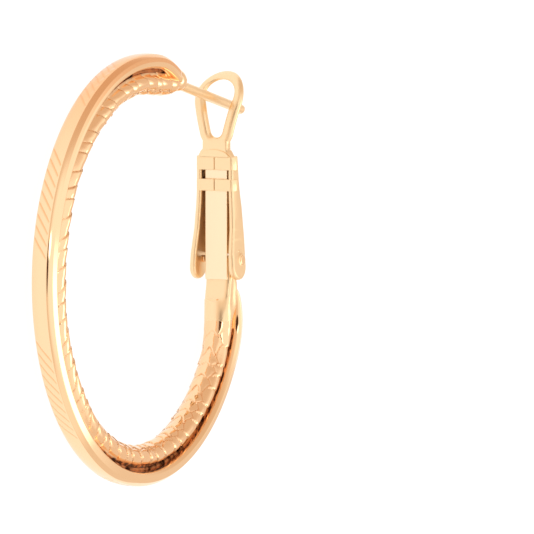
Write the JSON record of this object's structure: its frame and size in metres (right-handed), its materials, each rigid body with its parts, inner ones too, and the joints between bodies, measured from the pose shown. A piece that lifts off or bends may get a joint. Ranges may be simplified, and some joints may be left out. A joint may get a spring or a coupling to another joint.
{
  "type": "hoop earring",
  "caption": "Gold hoop earring of a smooth fluted ring joined to a scaled inner strand, with a straight ear post and a hinged clip lever whose loop closes over the post.",
  "frame": {"origin": "bottom centre of the earring's box as it lies on its side: on the surface, on the hoop's own axis", "axes": "+Z along the hoop's axis, up from the surface; worn, +X points to the back of the ear, where the clip is, and +Y points up"},
  "size_m": [0.0399, 0.04, 0.005],
  "materials": {
    "polished_gold": "gold plated, high polish",
    "clip_gold": "gold plated, polished",
    "spring_gold": "gold plated, rolled leaf"
  },
  "bodies": {
    "hoop": {"hoop": "polished_gold"},
    "clip": {"clip_lever": "clip_gold", "clip_spring": "spring_gold", "hinge_pin": "polished_gold"}
  },
  "joints": [
    {"name": "clip_hinge", "type": "hinge", "parent": "hoop", "child": "clip", "pos_m": [0.01561, 0, 0.00248], "axis": [0, 0, -1], "range_deg": [0, 70]}
  ]
}
